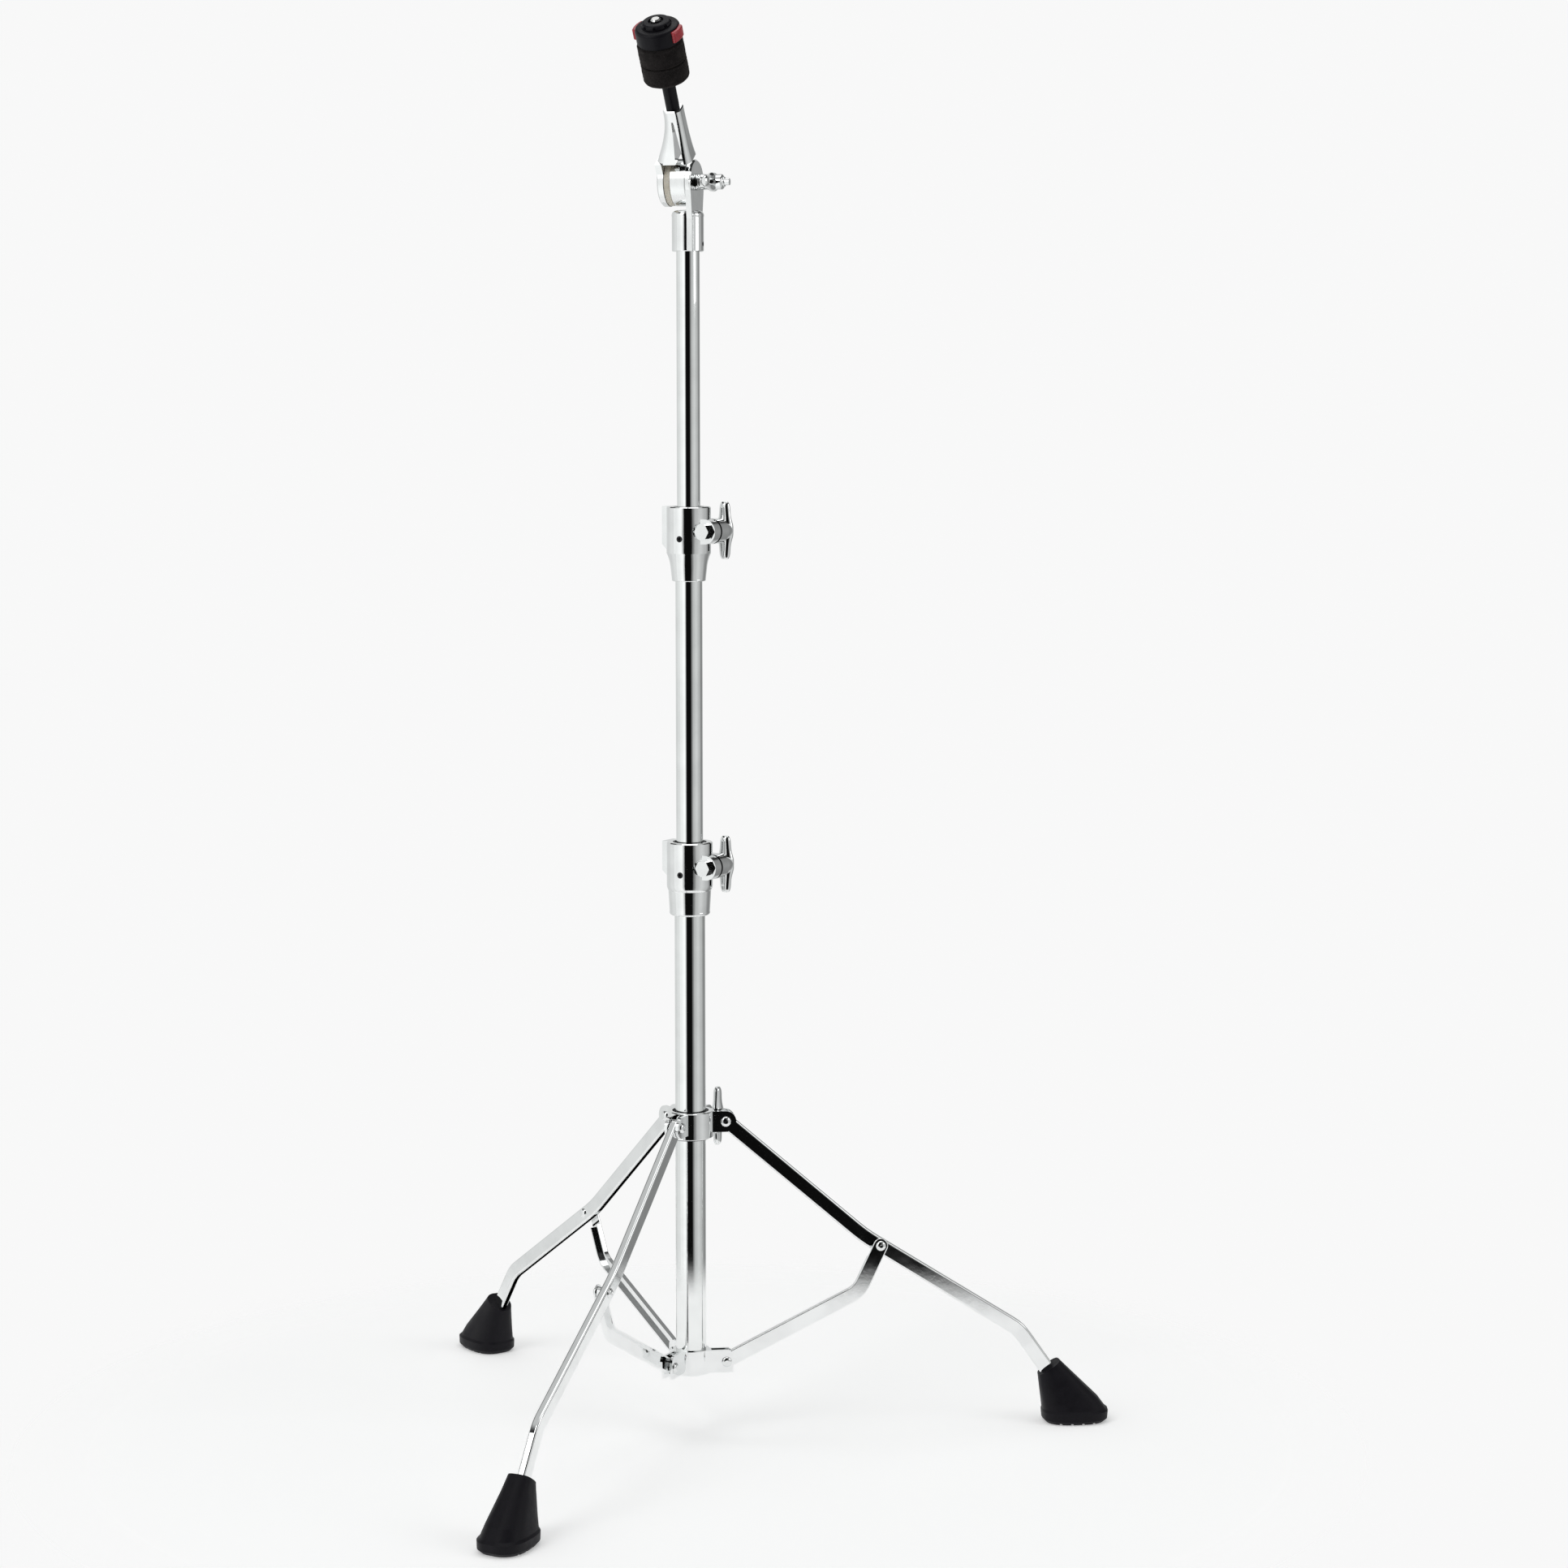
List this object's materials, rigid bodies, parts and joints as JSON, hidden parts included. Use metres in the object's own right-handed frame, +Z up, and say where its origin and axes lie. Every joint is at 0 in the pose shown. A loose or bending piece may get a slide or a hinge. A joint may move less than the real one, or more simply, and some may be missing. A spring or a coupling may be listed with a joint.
{
  "type": "cymbal stand",
  "caption": "Straight cymbal stand: folding single-braced tripod, telescoping chrome tubes with wing-nut clamps, fork tilter, felts and push-button quick-release topper.",
  "frame": {"origin": "on the floor, on the axis of the upright tubes, midway between the three feet", "axes": "+Z up along the tubes; +X along leg C, the leg without a neighbour on its clockwise side of the clamp bolt; legs A and B are 120 degrees either way"},
  "size_m": [0.5448, 0.6239, 1.1682],
  "materials": {
    "chrome": "bright chrome plate",
    "bare_steel": "bare turned steel",
    "black_steel": "black oxide",
    "nylon": "natural nylon",
    "black_plastic": "moulded, satin",
    "red_plastic": "moulded, gloss",
    "felt": "pressed wool felt",
    "rubber": "moulded, matt"
  },
  "bodies": {
    "base": {"base_tube": "chrome", "leg_bracket": "chrome", "bracket_rivets": "chrome", "lower_joint_collar": "chrome", "lower_joint_screw": "black_steel", "lower_joint_bolt": "chrome"},
    "lower_bushing": {"lower_bushing": "black_plastic"},
    "lower_wing": {"lower_joint_wing_nut": "chrome"},
    "middle": {"middle_tube": "chrome", "upper_joint_collar": "chrome", "upper_joint_screw": "black_steel", "upper_joint_bolt": "chrome"},
    "upper_bushing": {"upper_bushing": "black_plastic"},
    "upper_wing": {"upper_joint_wing_nut": "chrome"},
    "top": {"top_tube": "chrome", "tilter_base": "chrome", "tilter_base_screw": "black_steel", "tilter_drum": "chrome", "tilter_friction_ring": "nylon", "tilter_pivot_bolt": "chrome"},
    "tilter_wing": {"tilter_wing_nut": "chrome"},
    "arm": {"tilter_arm": "chrome", "cymbal_stud": "bare_steel", "stud_sleeve": "black_plastic", "lower_felt": "felt"},
    "upper_felt": {"upper_felt": "felt"},
    "topper": {"topper_shell": "black_plastic", "topper_cover": "black_plastic", "button_springs": "bare_steel"},
    "button_right": {"button_right": "red_plastic", "jaw_right": "bare_steel"},
    "button_left": {"button_left": "red_plastic", "jaw_left": "bare_steel"},
    "collar": {"leg_collar": "chrome", "collar_liner": "black_plastic", "collar_rivets": "chrome", "collar_bolt": "chrome"},
    "collar_wing": {"collar_wing_nut": "chrome"},
    "leg_a": {"leg_a": "chrome", "foot_a": "rubber", "brace_rivet_a": "chrome"},
    "brace_a": {"brace_a": "chrome"},
    "leg_b": {"leg_b": "chrome", "foot_b": "rubber", "brace_rivet_b": "chrome"},
    "brace_b": {"brace_b": "chrome"},
    "leg_c": {"leg_c": "chrome", "foot_c": "rubber", "brace_rivet_c": "chrome"},
    "brace_c": {"brace_c": "chrome"}
  },
  "joints": [
    {"name": "lower_swivel", "type": "hinge", "parent": "base", "child": "lower_bushing", "pos_m": [0, 0, 0.502], "axis": [0, 0, 1], "continuous": true},
    {"name": "middle_slide", "type": "slide", "parent": "lower_bushing", "child": "middle", "axis": [0, 0, 1], "range_m": [-0.21, 0.08]},
    {"name": "upper_swivel", "type": "hinge", "parent": "middle", "child": "upper_bushing", "pos_m": [0, 0, 0.7785], "axis": [0, 0, 1], "continuous": true},
    {"name": "top_slide", "type": "slide", "parent": "upper_bushing", "child": "top", "axis": [0, 0, 1], "range_m": [-0.2, 0.08]},
    {"name": "lower_wing_spin", "type": "hinge", "parent": "base", "child": "lower_wing", "pos_m": [0.02428, -0.00222, 0.482], "axis": [0.6157, 0.788, 0], "continuous": true},
    {"name": "upper_wing_spin", "type": "hinge", "parent": "middle", "child": "upper_wing", "pos_m": [0.02428, -0.00222, 0.7585], "axis": [0.6157, 0.788, 0], "continuous": true},
    {"name": "tilt", "type": "hinge", "parent": "top", "child": "arm", "pos_m": [0, 0, 1.0405], "axis": [0.9205, -0.3907, 0], "range_deg": [-123, 57]},
    {"name": "tilter_wing_spin", "type": "hinge", "parent": "top", "child": "tilter_wing", "pos_m": [0, 0, 1.0405], "axis": [0.9205, -0.3907, 0], "continuous": true},
    {"name": "topper_lift", "type": "slide", "parent": "arm", "child": "topper", "axis": [-0.2128, -0.5013, 0.8387], "range_m": [0, 0.03]},
    {"name": "upper_felt_lift", "type": "slide", "parent": "arm", "child": "upper_felt", "axis": [-0.2128, -0.5013, 0.8387], "range_m": [0, 0.015]},
    {"name": "button_right_push", "type": "slide", "parent": "topper", "child": "button_right", "axis": [-0.8323, 0.5427, 0.1132], "range_m": [0, 0.002], "stiffness_N_per_m": 800, "springref_m": -0.001},
    {"name": "button_left_push", "type": "slide", "parent": "topper", "child": "button_left", "axis": [0.8323, -0.5427, -0.1132], "range_m": [0, 0.002], "stiffness_N_per_m": 800, "springref_m": -0.001},
    {"name": "leg_slide", "type": "slide", "parent": "base", "child": "collar", "axis": [0, 0, 1], "range_m": [0, 0.115]},
    {"name": "collar_wing_spin", "type": "hinge", "parent": "collar", "child": "collar_wing", "pos_m": [0.01683, 0.01915, 0.2675], "axis": [0.866, -0.5, 0], "range_deg": [-18, 20]},
    {"name": "leg_a_fold", "type": "hinge", "parent": "collar", "child": "leg_a", "pos_m": [-0.0145, 0.02511, 0.2667], "axis": [-0.866, -0.5, 0], "range_deg": [0, 34.87]},
    {"name": "brace_a_fold", "type": "hinge", "parent": "leg_a", "child": "brace_a", "pos_m": [-0.07975, 0.13813, 0.1578], "axis": [0.866, 0.5, 0], "range_deg": [0, 72.63]},
    {"name": "leg_b_fold", "type": "hinge", "parent": "collar", "child": "leg_b", "pos_m": [-0.0145, -0.02511, 0.2667], "axis": [0.866, -0.5, 0], "range_deg": [0, 34.87]},
    {"name": "brace_b_fold", "type": "hinge", "parent": "leg_b", "child": "brace_b", "pos_m": [-0.07975, -0.13813, 0.1578], "axis": [-0.866, 0.5, 0], "range_deg": [0, 72.63]},
    {"name": "leg_c_fold", "type": "hinge", "parent": "collar", "child": "leg_c", "pos_m": [0.029, 0, 0.2667], "axis": [0, 1, 0], "range_deg": [0, 34.87]},
    {"name": "brace_c_fold", "type": "hinge", "parent": "leg_c", "child": "brace_c", "pos_m": [0.1595, 0, 0.1578], "axis": [0, -1, 0], "range_deg": [0, 72.63]}
  ],
  "couplings": [
    {"joint": "upper_felt_lift", "follows": "topper_lift", "ratio": 0.5},
    {"joint": "leg_a_fold", "follows": "leg_slide", "rad_per_m": 5.291},
    {"joint": "brace_a_fold", "follows": "leg_slide", "rad_per_m": 11.021},
    {"joint": "leg_b_fold", "follows": "leg_slide", "rad_per_m": 5.291},
    {"joint": "brace_b_fold", "follows": "leg_slide", "rad_per_m": 11.021},
    {"joint": "leg_c_fold", "follows": "leg_slide", "rad_per_m": 5.291},
    {"joint": "brace_c_fold", "follows": "leg_slide", "rad_per_m": 11.021}
  ]
}
